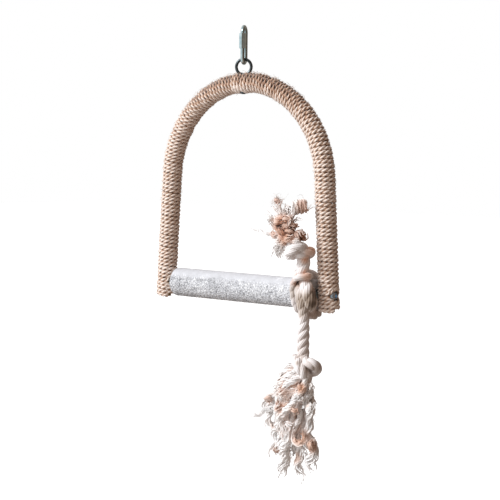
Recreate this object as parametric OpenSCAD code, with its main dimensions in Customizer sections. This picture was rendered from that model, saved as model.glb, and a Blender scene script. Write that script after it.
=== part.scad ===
// Bird swing: an arch wrapped in sisal twine, a rough mineral perch screwed between its feet,
// an eye bolt and quick link at the crown, and a knotted cotton rope hitched round the perch.
// The origin is where the link hangs: inside the top of its upper bow.
// +X runs along the perch and +Z is up.

/* [Quick link] */
// Thickness of the link's wire
link_wire = 4; // [3.5:0.5:4.5]
// Clear length inside the link
link_inner_length = 32; // [30:1:36]
// Clear width inside the link
link_inner_width = 8; // [7.5:0.5:10]
// Length of the screw sleeve
sleeve_length = 15; // [13:0.5:15.5]
// Wall of the screw sleeve
sleeve_wall = 1; // [0.8:0.1:1.2]
// Gap in the link that the sleeve closes
link_gap = 6; // [5:0.5:6]

/* [Eye bolt] */
// Thickness of the eye's wire
eye_wire = 3; // [2.5:0.1:3.2]
// Radius of the eye, at the middle of its wire
eye_radius = 7.8; // [7.4:0.1:9]
// Diameter of the threaded shank
shank_d = 4; // [3.5:0.1:4.5]
// Turn of the eye away from the arch's plane
eye_turn = 24; // [0:1:30]
// How far the bolt stands left of the crown's middle
bolt_offset = 3.5; // [0:0.5:5]
// Diameter of the washer under the crown
washer_d = 9; // [8.5:0.5:10]
// Thickness of the washer
washer_t = 0.8; // [0.6:0.1:1.2]
// Width of the lock nut across its flats
nut_flats = 7; // [6.6:0.1:8]
// Height of the lock nut
nut_height = 5; // [3:0.5:6]

/* [Arch] */
// Radius of the crown's half circle, at the middle of the cane
crown_radius = 100; // [90:1:110]
// Height of the crown's centre above the feet
leg_drop = 126; // [115:1:150]
// Angle at which each leg spreads outward
leg_splay = 3.5; // [2:0.5:5]
// Diameter of the bent cane inside the twine
cane_d = 11; // [10:0.5:12]
// Thickness of the twine layer
twine_layer = 4.1; // [3.9:0.1:4.4]
// Thickness of one formed turn of twine
twine_d = 4; // [3.6:0.1:4.1]
// Advance of the twine in one turn
turn_pitch = 4.15; // [4.15:0.05:4.5]
// Formed turns on each leg
leg_turns = 24; // [12:1:24]
// Depth of the cane's end inside the wrap
cane_recess = 1; // [0.5:0.5:2]

/* [Perch] */
// Diameter of the perch
perch_d = 30; // [28:1:34]
// Height of the perch's middle above the feet
perch_height = 17; // [16:1:22]
// Gap between the perch and the wrapped left leg
left_gap = 7; // [5:0.5:9]
// Gap between the perch and the wrapped right leg
right_gap = 3; // [2:0.5:5]
// Rounding of the perch's ends
perch_edge = 1.5; // [1:0.5:3]

/* [Perch fixings] */
// Thread diameter of the screws and the rod
thread_d = 6; // [5:0.5:6]
// Width of the cast-in hexagon sleeves across their flats
insert_flats = 10; // [9:0.5:11]
// Length of each cast-in sleeve
insert_length = 24; // [20:1:28]
// Diameter of the screw heads
head_d = 10.5; // [9.5:0.5:11]
// Height of the screw heads
head_height = 3; // [2.5:0.1:3.2]
// Length of the screws under the head
screw_length = 25; // [22:1:27]
// Width of the hexagon socket across its flats
socket_flats = 4; // [3:0.5:5]
// Depth of the hexagon socket
socket_depth = 1.6; // [1:0.1:2]
// Length of screw thread that the rod takes in each sleeve
rod_engagement = 7; // [5:0.5:9]

/* [Rope] */
// Diameter of the cotton rope
rope_d = 11.8; // [10:0.2:12]
// Slack between the rope's turn and the perch
hitch_slack = 0.4; // [0.3:0.1:0.8]
// Advance of the rope in its turn round the perch
hitch_pitch = 12.4; // [12.4:0.1:13]
// Distance from the arch's middle to the rope's first pass
hitch_x = 80; // [70:1:80]
// Length of the rope's stretch above its turn
upper_rise = 18; // [12:1:24]
// Length of the rope that hangs above the lower knot
tail_length = 39.5; // [32:0.5:60]
// Diameter of the upper knot
upper_knot_d = 27; // [22:1:30]
// Height of the upper knot
upper_knot_h = 20; // [16:1:24]
// Diameter of the lower knot
lower_knot_d = 32; // [26:1:34]
// Height of the lower knot
lower_knot_h = 25; // [20:1:30]
// Length of the lower tassel
tassel_length = 98; // [70:1:120]
// Height of the frayed upper end
tuft_height = 45; // [30:1:60]

/* [Hidden] */

// Overrun of every cut
over = 1;
// Clearance of threads, cast-in faces and the cane in its wrap
thread_clear = 0.05;
cast_clear = 0.05;
wrap_clear = 0.1;
// How much the cane's straight legs are shaved below the bent crown, in radius
leg_shave = 0.1;
// Clearance of bolts in the cane's drilled holes
drill_clear = 0.2;
// Running gap of the eye in the link, and of the sleeve on the link
eye_gap = 0.3;
sleeve_clear = 0.05;
// Gap round hardware that the twine is parted for
part_gap = 0.4;
// Gap between a winding and the plain wrap at its ends
wind_gap = 0.3;
// Gap at the rope's hanging joint
tail_gap = 0.4;
// Space from the upper bow to the closed sleeve, and from the sleeve's rim to the gap it covers
sleeve_inset = 0.8;
gap_inset = 1;
// Length of shank that shows below the lock nut
shank_end = 0.6;

// Link
bow_radius = (link_inner_width + link_wire) / 2;
upper_bow_z = -link_inner_width / 2;
lower_bow_z = -link_inner_length + link_inner_width / 2;
sleeve_top_z = upper_bow_z - sleeve_inset;
sleeve_r = link_wire / 2 + sleeve_clear + sleeve_wall;

// Eye bolt
pivot_z = -link_inner_length + eye_gap + eye_wire / 2;
eye_z = pivot_z - eye_radius;
eye_bottom_z = eye_z - eye_radius - eye_wire / 2;

// Arch
cane_r = cane_d / 2;
wrap_r = cane_r + twine_layer;
crown_z = eye_bottom_z - eye_gap - sqrt(pow(crown_radius + cane_r, 2) - pow(bolt_offset, 2));
foot_z = crown_z - leg_drop;
leg_length = (leg_drop + crown_radius * sin(leg_splay)) / cos(leg_splay);
winding_length = leg_turns * turn_pitch;
foot_length = leg_length - winding_length;

// Washer and nut under the crown, clear of the cane's curve at the washer's far edge
washer_top_z = crown_z - cast_clear
    + sqrt(pow(crown_radius - cane_r, 2) - pow(bolt_offset + washer_d / 2, 2));
nut_top_z = washer_top_z - washer_t;
shank_bottom_z = nut_top_z - nut_height - shank_end;

// Perch and its fixings, measured from the arch's middle
perch_r = perch_d / 2;
perch_z = foot_z + perch_height;
leg_x = crown_radius * cos(leg_splay)
    + (leg_length - perch_height / cos(leg_splay)) * sin(leg_splay);
cane_face = cane_r / cos(leg_splay);
insert_r = insert_flats / 2 / cos(30);
insert_outer_x = leg_x - cane_face - insert_r * tan(leg_splay) - cast_clear;
insert_inner_x = insert_outer_x - insert_length;
head_seat_x = leg_x + cane_face + head_d / 2 * tan(leg_splay) + cast_clear;
rod_half = insert_inner_x + rod_engagement;
wrap_face = leg_x - wrap_r / cos(leg_splay);
perch_left = wrap_face - left_gap;
perch_right = wrap_face - right_gap;

// Rope
rope_r = rope_d / 2;
hitch_r = perch_r + hitch_slack + rope_r;
tail_x = hitch_x + hitch_pitch;
hitch_lead = rope_d;
tail_pivot_z = perch_z - hitch_lead - tail_gap - rope_r;
knot_top_z = tail_pivot_z - tail_length;

// Rings, sides and shares of the formed turns
wind_rings = 12;
wind_sides = 6;
hitch_rings = 24;
rope_sides = 8;
cord_sides = 8;
round_fn = 64;
fine_fn = 48;
bunch_fn = 16;

// The rope's upper end runs from the hitch to the upper knot. Its shares are how far up each point
// stands and how far it leans over the perch, and its ends are upright
upper_up_share = [0, 0.3, 0.7, 1];
upper_lean_share = [0, 0, 0.6, 0.6];
function upper_route() = [for (i = [0:3]) [hitch_x, -hitch_r + rope_r * upper_lean_share[i],
    perch_z + hitch_lead + upper_rise * upper_up_share[i]]];
upper_knot_at = upper_route()[3];

// Ring of points round a centre, in the plane of two unit vectors
function ring_at(centre, side_a, side_b, radius, sides) =
    [for (k = [0:sides - 1]) let (turn = 360 * k / sides)
        centre + radius * (cos(turn) * side_a + sin(turn) * side_b)];

// Triangles that close a tube of rings
function tube_faces(rings, sides) = concat(
    [for (i = [0:rings - 2], k = [0:sides - 1]) let (n = (k + 1) % sides)
        [i * sides + k, i * sides + n, (i + 1) * sides + n]],
    [for (i = [0:rings - 2], k = [0:sides - 1]) let (n = (k + 1) % sides)
        [i * sides + k, (i + 1) * sides + n, (i + 1) * sides + k]],
    [for (k = [1:sides - 2]) [0, k + 1, k]],
    [for (k = [1:sides - 2]) let (last = (rings - 1) * sides) [last, last + k, last + k + 1]]);

// One pass of twine: centre and ring directions at a turn, on a leg whose axis is Z
wind_r = cane_r + wrap_clear + twine_d / 2;
function wind_out(turn) = [cos(360 * turn), sin(360 * turn), 0];
function wind_along(turn) = [-sin(360 * turn), cos(360 * turn), 0];
function wind_centre(turn) = wind_r * wind_out(turn) + [0, 0, turn_pitch * turn];
function wind_ring(turn, shift) = ring_at(wind_centre(turn) + shift * wind_along(turn),
    wind_out(turn), [0, 0, 1], twine_d / 2, wind_sides);
wind_span = leg_turns - 1;
wind_steps = wind_span * wind_rings;
function winding_rings() = concat(
    [wind_ring(0, -twine_d)],
    [for (i = [0:wind_steps]) wind_ring(i / wind_rings, 0)],
    [wind_ring(wind_span, twine_d)]);

// The rope's turn round the perch: it comes down in front, goes round and leaves downward
function hitch_centre(turn) = [hitch_x + hitch_pitch * turn,
    -hitch_r * cos(360 * turn), perch_z - hitch_r * sin(360 * turn)];
function hitch_out(turn) = [0, -cos(360 * turn), -sin(360 * turn)];
function hitch_ring(turn, rise) = ring_at(hitch_centre(turn) + [0, 0, rise],
    hitch_out(turn), [1, 0, 0], rope_r, rope_sides);
hitch_points = concat(
    [hitch_ring(0, hitch_lead), hitch_ring(0, hitch_lead / 2)],
    [for (i = [0:hitch_rings]) hitch_ring(i / hitch_rings, 0)],
    [hitch_ring(1, -hitch_lead / 2), hitch_ring(1, -hitch_lead)]);

// A tube along a route that lies in a plane square to the unit vector flat
function route_ring(points, i, radius, flat) =
    let (a = points[max(i - 1, 0)], b = points[min(i + 1, len(points) - 1)],
        run = (b - a) / norm(b - a), out = cross(run, flat))
    ring_at(points[i], out, cross(run, out), radius, cord_sides);
module route_tube(points, radii, flat) {
    rings = [for (i = [0:len(points) - 1]) route_ring(points, i, radii[i], flat)];
    polyhedron([for (ring = rings) each ring], tube_faces(len(points), cord_sides));
}

// A bunch of frayed yarn: each share holds its place across and up, and its radius. The flat
// share is how far the flat end of each ball lies from its middle, so that a bunch meets its knot
flat_share = cos(180 / bunch_fn);
module bunch(shares, length) {
    for (i = [1:len(shares) - 1])
        hull()
            for (share = [shares[i - 1], shares[i]])
                translate([share[0], 0, share[1]] * length)
                    sphere(r = share[2] * length, $fn = bunch_fn);
}

// Least distance between points of a winding that lie at least half a turn apart
function least_gap(first, second) = min([for (p = first, q = second) norm(p - q)]);
half_turn = wind_rings / 2;
wind_gap_now = least_gap(
    [for (i = [0:half_turn]) each wind_ring(i / wind_rings, 0)],
    [for (i = [0:half_turn]) each wind_ring(1 + i / wind_rings, 0)]);
near_front = hitch_rings / 4;
hitch_gap_now = least_gap(
    [for (i = [0:near_front]) each hitch_ring(i / hitch_rings, 0)],
    [for (i = [0:near_front]) each hitch_ring(1 - i / hitch_rings, 0)]);
echo(winding_gap_mm = wind_gap_now, hitch_gap_mm = hitch_gap_now);

module link_place() {
    rotate([0, 0, eye_turn + 90]) children();
}

module link_leg(side) {
    translate([side * bow_radius, 0, lower_bow_z])
        cylinder(d = link_wire, h = upper_bow_z - lower_bow_z, $fn = fine_fn);
}

module link_bow() {
    rotate([90, 0, 0])
        rotate_extrude(angle = 180, $fn = round_fn)
            translate([bow_radius, 0]) circle(d = link_wire, $fn = fine_fn);
}

module quick_link() {
    color("#8b9492")
        link_place()
            difference() {
                union() {
                    link_leg(1);
                    link_leg(-1);
                    translate([0, 0, upper_bow_z]) link_bow();
                    translate([0, 0, lower_bow_z]) rotate([0, 180, 0]) link_bow();
                }
                translate([-bow_radius - link_wire, -link_wire,
                    sleeve_top_z - gap_inset - link_gap])
                    cube([2 * link_wire, 2 * link_wire, link_gap]);
            }
}

module link_sleeve() {
    color("#77827f")
        link_place()
            translate([-bow_radius, 0, sleeve_top_z - sleeve_length])
                difference() {
                    cylinder(r = sleeve_r / cos(30), h = sleeve_length, $fn = 6);
                    translate([0, 0, -over])
                        cylinder(r = link_wire / 2 + sleeve_clear, h = sleeve_length + 2 * over,
                            $fn = fine_fn);
                }
}

module eye_ring(wire_r) {
    translate([0, 0, eye_z])
        rotate([90, 0, eye_turn])
            rotate_extrude($fn = round_fn)
                translate([eye_radius, 0]) circle(r = wire_r, $fn = fine_fn);
}

module shank(radius) {
    translate([0, 0, shank_bottom_z])
        cylinder(r = radius, h = eye_z - eye_radius - shank_bottom_z, $fn = fine_fn);
}

module eye_bolt() {
    color("#3f4446") {
        eye_ring(eye_wire / 2);
        shank(shank_d / 2);
    }
}

module crown_washer() {
    color("#9aa0a2")
        translate([0, 0, nut_top_z])
            difference() {
                cylinder(d = washer_d, h = washer_t, $fn = round_fn);
                translate([0, 0, -over])
                    cylinder(r = shank_d / 2 + thread_clear, h = washer_t + 2 * over,
                        $fn = fine_fn);
            }
}

module crown_lock_nut() {
    color("#4a5052")
        translate([0, 0, nut_top_z - nut_height])
            difference() {
                cylinder(r = nut_flats / 2 / cos(30), h = nut_height, $fn = 6);
                translate([0, 0, -over])
                    cylinder(r = shank_d / 2 + thread_clear, h = nut_height + 2 * over,
                        $fn = fine_fn);
            }
}

// Everything on the arch is placed from the crown's middle
module arch_place() {
    translate([bolt_offset, 0, 0]) children();
}

// Crown part: a ring section bent from one leg to the other
module crown_bend(radius) {
    translate([0, 0, crown_z])
        rotate([90, 0, 0])
            rotate([0, 0, leg_splay])
                rotate_extrude(angle = 180 - 2 * leg_splay, $fn = round_fn * 2)
                    translate([crown_radius, 0]) circle(r = radius, $fn = fine_fn);
}

// Leg frame: its origin is at the foot's end and +Z runs up the leg; side is 1 or -1
module leg_place(side) {
    translate([side * (crown_radius * cos(leg_splay) + leg_length * sin(leg_splay)), 0, foot_z])
        rotate([0, -side * leg_splay, 0]) children();
}

module leg_bar(side, radius, start, length) {
    leg_place(side) translate([0, 0, start]) cylinder(r = radius, h = length, $fn = fine_fn);
}

// Cylinder along X at the perch's height, from one distance to another on one side
module side_bar(side, radius, from_x, to_x, sides) {
    translate([side * from_x, 0, perch_z])
        rotate([0, side * 90, 0]) cylinder(r = radius, h = to_x - from_x, $fn = sides);
}

module bolt_hole(radius) {
    translate([-bolt_offset, 0, crown_z + crown_radius - wrap_r - over])
        cylinder(r = radius, h = 2 * wrap_r + 2 * over, $fn = fine_fn);
}

module arch_cane() {
    color("#c2a06c")
        arch_place()
            difference() {
                union() {
                    crown_bend(cane_r);
                    for (side = [-1, 1])
                        leg_bar(side, cane_r - leg_shave, cane_recess, leg_length - cane_recess);
                }
                bolt_hole(shank_d / 2 + drill_clear);
                for (side = [-1, 1])
                    side_bar(side, thread_d / 2 + drill_clear, leg_x - wrap_r,
                        leg_x + wrap_r, fine_fn);
            }
}

module crown_wrap() {
    color("#c8a68b")
        difference() {
            arch_place()
                difference() {
                    crown_bend(wrap_r);
                    crown_bend(cane_r + wrap_clear);
                    bolt_hole(shank_d / 2 + part_gap);
                }
            eye_ring(eye_wire / 2 + part_gap);
            translate([0, 0, crown_z])
                cylinder(d = washer_d + 2 * part_gap, h = crown_radius, $fn = round_fn);
        }
}

module leg_winding(side) {
    color("#d0ae93")
        arch_place()
            leg_place(side)
                translate([0, 0, foot_length + twine_d / 2 + wind_gap])
                    polyhedron([for (ring = winding_rings()) each ring],
                        tube_faces(wind_steps + 3, wind_sides));
}

module left_leg_winding() {
    leg_winding(-1);
}

module right_leg_winding() {
    leg_winding(1);
}

module foot_wrap(side) {
    color("#bf9d82")
        arch_place()
            difference() {
                leg_bar(side, wrap_r, 0, foot_length);
                leg_bar(side, cane_r + wrap_clear, -over, foot_length + 2 * over);
                side_bar(side, insert_r + part_gap, leg_x - 2 * wrap_r, leg_x, round_fn);
                side_bar(side, head_d / 2 + part_gap, leg_x, leg_x + 2 * wrap_r, round_fn);
            }
}

module left_foot_wrap() {
    foot_wrap(-1);
}

module right_foot_wrap() {
    foot_wrap(1);
}

module perch() {
    color("#d9d7d4")
        arch_place()
            difference() {
                translate([-perch_left, 0, perch_z])
                    rotate([0, 90, 0])
                        rotate_extrude($fn = round_fn)
                            perch_outline();
                for (side = [-1, 1])
                    side_bar(side, insert_r + cast_clear, insert_inner_x, insert_outer_x, 6);
                side_bar(1, thread_d / 2 + thread_clear, -insert_outer_x, insert_outer_x,
                    fine_fn);
            }
}

// Half outline of the perch: its length is upright here, with rounded corners
module perch_outline() {
    length = perch_left + perch_right;
    corner = perch_r - perch_edge;
    polygon(concat(
        [[0, 0]],
        [for (a = [0:15:90]) [corner + perch_edge * sin(a), perch_edge - perch_edge * cos(a)]],
        [for (a = [0:15:90])
            [corner + perch_edge * cos(a), length - perch_edge + perch_edge * sin(a)]],
        [[0, length]]));
}

module perch_rod() {
    color("#8a8f91")
        arch_place()
            side_bar(1, thread_d / 2, -rod_half, rod_half, fine_fn);
}

module perch_sleeve(side) {
    color("#9ba1a3")
        arch_place()
            difference() {
                side_bar(side, insert_r, insert_inner_x, insert_outer_x, 6);
                side_bar(side, thread_d / 2 + thread_clear, insert_inner_x - over,
                    insert_outer_x + over, fine_fn);
            }
}

module left_perch_sleeve() {
    perch_sleeve(-1);
}

module right_perch_sleeve() {
    perch_sleeve(1);
}

// Half outline of a screw head: a rounded dome on a flat seat
dome_r = (pow(head_d / 2, 2) + pow(head_height, 2)) / (2 * head_height);
dome_angle = asin(head_d / 2 / dome_r);
module head_outline() {
    polygon(concat([[0, 0]], [for (i = [0:8]) let (a = dome_angle * (1 - i / 8))
        [dome_r * sin(a), head_height - dome_r + dome_r * cos(a)]]));
}

// Low domed screw with a hexagon socket, its axis along X
module perch_screw(side) {
    color("#7d8890")
        arch_place()
            difference() {
                union() {
                    side_bar(side, thread_d / 2, head_seat_x - screw_length,
                        head_seat_x, fine_fn);
                    translate([side * head_seat_x, 0, perch_z])
                        rotate([0, side * 90, 0])
                            rotate_extrude($fn = round_fn) head_outline();
                }
                side_bar(side, socket_flats / 2 / cos(30),
                    head_seat_x + head_height - socket_depth, head_seat_x + head_height + over, 6);
            }
}

module left_perch_screw() {
    perch_screw(-1);
}

module right_perch_screw() {
    perch_screw(1);
}

module rope_hitch() {
    color("#e8ddd8")
        arch_place()
            polyhedron([for (ring = hitch_points) each ring],
                tube_faces(len(hitch_points), rope_sides));
}

module rope_upper_end() {
    color("#e4d6cf")
        arch_place()
            route_tube(upper_route(), [rope_r, rope_r, rope_r, rope_r], [1, 0, 0]);
}

// Flattened bead with a round rim, standing on its lower face
module knot_bead(diameter, height) {
    rim = height / 2;
    rotate_extrude($fn = round_fn)
        union() {
            square([diameter / 2 - rim, height]);
            translate([diameter / 2 - rim, rim])
                intersection() {
                    circle(r = rim, $fn = fine_fn);
                    translate([0, -rim]) square([rim, height]);
                }
        }
}

module upper_knot() {
    color("#e0cfc6")
        arch_place()
            translate(upper_knot_at) knot_bead(upper_knot_d, upper_knot_h);
}

// Frayed upper end: its body, two upright bunches and two that stray to the left
tuft_shares = [
    [[-0.06, 0.2 * flat_share, 0.2], [-0.24, 0.34, 0.3], [-0.34, 0.58, 0.22]],
    [[-0.35, 0.5, 0.18], [-0.6, 1, 0.06]],
    [[-0.2, 0.5, 0.16], [0.05, 0.95, 0.06]],
    [[-0.4, 0.3, 0.15], [-0.9, 0.32, 0.1], [-1.35, 0.28, 0.03]],
    [[-0.5, 0.3, 0.14], [-0.68, 0, 0.11], [-0.72, -0.35, 0.04]]];
module upper_tuft() {
    color("#c9a48c")
        arch_place()
            translate(upper_knot_at + [0, 0, upper_knot_h])
                union()
                    for (shares = tuft_shares) bunch(shares, tuft_height);
}

// The hanging rope, with a domed top that swings under the hitch
tail_dome_share = [0.25, 0.8, 1];
module rope_tail() {
    dome = [for (share = tail_dome_share) [tail_x, -hitch_r,
        tail_pivot_z + rope_r * sqrt(1 - pow(share, 2))]];
    run = [for (i = [1:4]) [tail_x, -hitch_r, tail_pivot_z - tail_length * i / 4]];
    color("#e8ddd8")
        arch_place()
            route_tube(concat(dome, run),
                concat(rope_r * tail_dome_share, [rope_r, rope_r, rope_r, rope_r]), [1, 0, 0]);
}

module lower_knot() {
    color("#e0cfc6")
        arch_place()
            translate([tail_x, -hitch_r, knot_top_z - lower_knot_h])
                knot_bead(lower_knot_d, lower_knot_h);
}

// Frayed bunches below the lower knot, from left to right
tassel_shares = [
    [[-0.25, -0.2, 0.09], [-0.45, -0.32, 0.05], [-0.54, -0.42, 0.02]],
    [[-0.05, -0.1, 0.08], [-0.24, -0.22, 0.1], [-0.34, -0.45, 0.08], [-0.3, -0.8, 0.03]],
    [[-0.01, -0.08 * flat_share, 0.08], [-0.1, -0.25, 0.11], [-0.12, -0.6, 0.1], [-0.09, -1, 0.04]],
    [[0.02, -0.08, 0.07], [0.07, -0.28, 0.08], [0.11, -0.58, 0.07], [0.12, -0.9, 0.03]]];
module lower_tassel() {
    color("#ead9d0")
        arch_place()
            translate([tail_x, -hitch_r, knot_top_z - lower_knot_h])
                union()
                    for (shares = tassel_shares) bunch(shares, tassel_length);
}

quick_link();
link_sleeve();
eye_bolt();
crown_washer();
crown_lock_nut();
arch_cane();
crown_wrap();
left_leg_winding();
right_leg_winding();
left_foot_wrap();
right_foot_wrap();
perch();
perch_rod();
left_perch_sleeve();
right_perch_sleeve();
left_perch_screw();
right_perch_screw();
rope_hitch();
rope_upper_end();
upper_knot();
upper_tuft();
rope_tail();
lower_knot();
lower_tassel();
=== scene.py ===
import math

import bmesh
import bpy
import numpy as np
from mathutils import Matrix, Vector, kdtree, noise


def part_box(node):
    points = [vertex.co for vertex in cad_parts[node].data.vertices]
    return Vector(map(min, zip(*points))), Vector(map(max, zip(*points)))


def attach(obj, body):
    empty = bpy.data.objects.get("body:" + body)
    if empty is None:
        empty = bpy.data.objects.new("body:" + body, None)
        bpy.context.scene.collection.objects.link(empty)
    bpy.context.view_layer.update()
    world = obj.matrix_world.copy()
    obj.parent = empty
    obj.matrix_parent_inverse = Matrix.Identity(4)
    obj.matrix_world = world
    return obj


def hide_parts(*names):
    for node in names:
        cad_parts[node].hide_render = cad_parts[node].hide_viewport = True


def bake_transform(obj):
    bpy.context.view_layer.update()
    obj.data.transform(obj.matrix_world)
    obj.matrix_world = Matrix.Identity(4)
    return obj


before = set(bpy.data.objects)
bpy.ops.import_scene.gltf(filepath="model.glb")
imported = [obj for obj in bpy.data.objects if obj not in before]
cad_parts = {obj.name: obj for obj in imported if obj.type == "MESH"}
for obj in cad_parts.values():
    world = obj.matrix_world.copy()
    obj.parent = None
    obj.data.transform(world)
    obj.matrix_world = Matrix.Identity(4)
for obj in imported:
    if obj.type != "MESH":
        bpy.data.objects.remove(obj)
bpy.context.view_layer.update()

# --- Studio ---
# The swing hangs in front of a pale studio floor. One large soft light stands at the upper left,
# and the surround is white there and dim on the right. The camera is to the right of the perch's
# middle and a little above it.


def linear(code):
    """Linear colour, with alpha, of an sRGB hex value."""
    shades = [int(code[i:i + 2], 16) / 255 for i in (1, 3, 5)]
    return [c / 12.92 if c <= 0.04045 else ((c + 0.055) / 1.055) ** 2.4 for c in shades] + [1]


def add_node(material, kind, settings=None, **inputs):
    """Add a node; a socket input is linked and any other value is set."""
    node = material.node_tree.nodes.new("ShaderNode" + kind)
    for key, value in (settings or {}).items():
        setattr(node, key, value)
    for key, value in inputs.items():
        name = key.replace("_", " ")
        socket = node.inputs[int(key[2:])] if key.startswith("in") and key[2:].isdigit() \
            else node.inputs[name]
        if isinstance(value, bpy.types.NodeSocket):
            material.node_tree.links.new(value, socket)
        else:
            socket.default_value = value
    return node


def maths(material, operation, *values):
    """Output of a Math node; each value is a number or an output of another node."""
    return add_node(material, "Math", {"operation": operation},
                    **{f"in{k}": value for k, value in enumerate(values)}).outputs[0]


def new_material(name):
    """An empty node material and its Principled shader."""
    material = bpy.data.materials.new(name)
    material.use_nodes = True
    return material, material.node_tree.nodes["Principled BSDF"]


def colour_steps(material, factor, steps):
    """Colour ramp: steps are (place, hex colour) pairs."""
    ramp = add_node(material, "ValToRGB", in0=factor)
    bands = ramp.color_ramp.elements
    while len(bands) < len(steps):
        bands.new(0.5)
    for band, (place, code) in zip(bands, steps):
        band.position = place
    for band, (place, code) in zip(bands, steps):
        band.color = linear(code)
    return ramp.outputs["Color"]


def join(material, source, shader, name):
    """Link an output to a named input of the shader."""
    material.node_tree.links.new(source, shader.inputs[name])


camera_data = bpy.data.cameras.new("camera")
camera_data.lens, camera_data.sensor_width, camera_data.clip_end = 99.99, 36, 50  # mm, mm, m
camera = bpy.data.objects.new("camera", camera_data)
bpy.context.collection.objects.link(camera)
# rows: the picture's right, its up and the way back to the lens
camera_rows = Matrix(((0.7755, 0.6312, 0.0117), (-0.0561, 0.0504, 0.9972),
                      (0.6288, -0.7740, 0.0744)))
camera.matrix_world = Matrix.Translation((0.8981, -1.0920, -0.1180)) @ \
    camera_rows.transposed().to_4x4()
bpy.context.scene.camera = camera

surround = bpy.data.worlds.new("surround")
surround.use_nodes = True
background = surround.node_tree.nodes["Background"]
# Bright and neutral on the left, where the large diffuser stands, dim and warm on the right, and
# plain white to the camera
sky_place = add_node(surround, "TexCoord").outputs["Generated"]
sky_turn = add_node(surround, "VectorMath", {"operation": "DOT_PRODUCT"}, in0=sky_place,
                    in1=(-0.80, -0.58, 0.06))
sky_share = maths(surround, "MULTIPLY_ADD", sky_turn.outputs["Value"], 0.5, 0.5)
sky_seen = add_node(surround, "LightPath").outputs["Is Camera Ray"]
sky_white = add_node(surround, "Mix", {"data_type": "RGBA"}, in0=sky_seen,
                     in6=colour_steps(surround, sky_share, [
                         (0.0, "#4b2f1a"), (0.4, "#a5968a"), (0.65, "#d2cecc"), (1.0, "#fafafb")]),
                     in7=(1, 1, 1, 1))
surround.node_tree.links.new(sky_white.outputs[2], background.inputs["Color"])
bpy.context.scene.world = surround
bpy.context.scene.view_settings.view_transform = "Standard"
key_data = bpy.data.lights.new("key_light", "SUN")
key_data.angle, key_data.energy = math.radians(20), 3.0
key_data.color = (0.91, 0.955, 1.0)
key_light = bpy.data.objects.new("key_light", key_data)
bpy.context.collection.objects.link(key_light)
key_light.matrix_world = Vector((0.50, 0.80, -0.62)).to_track_quat("-Z", "Y").to_matrix().to_4x4()

floor_bm = bmesh.new()
bmesh.ops.create_grid(floor_bm, x_segments=1, y_segments=1, size=12,
                      matrix=Matrix.Translation((0, 0, -0.85)))
floor_mesh = bpy.data.meshes.new("studio_floor")
floor_bm.to_mesh(floor_mesh)
floor_bm.free()
studio_floor = bpy.data.objects.new("studio_floor", floor_mesh)
bpy.context.collection.objects.link(studio_floor)
studio_floor.visible_diffuse = studio_floor.visible_glossy = False
floor_paint, floor_shader = new_material("matt_white_studio_paint")
floor_shader.inputs["Base Color"].default_value = linear("#ffffff")
floor_shader.inputs["Roughness"].default_value = 0.9
floor_shader.inputs["Emission Color"].default_value = linear("#ffffff")
floor_shader.inputs["Emission Strength"].default_value = 0.3  # a light box under the sweep
floor_mesh.materials.append(floor_paint)

# --- Cotton rope ---
# One 12 mm rope of soft cotton, three strands laid right-handed. It is knotted at both ends and
# hitched round the perch beside the right leg with a clove hitch. Its lower end hangs free.
ROPE_D = 11.8  # diameter, mm
ROPE_SQUEEZED = 10.6  # where the knots and the hitch are pulled tight
ROPE_LAY = 24.0  # length of one turn of a strand
ROPE_STEP = 1.3  # distance between the points of its line
ROPE_EASE = 12.0  # length over which it goes from squeezed to full
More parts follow.
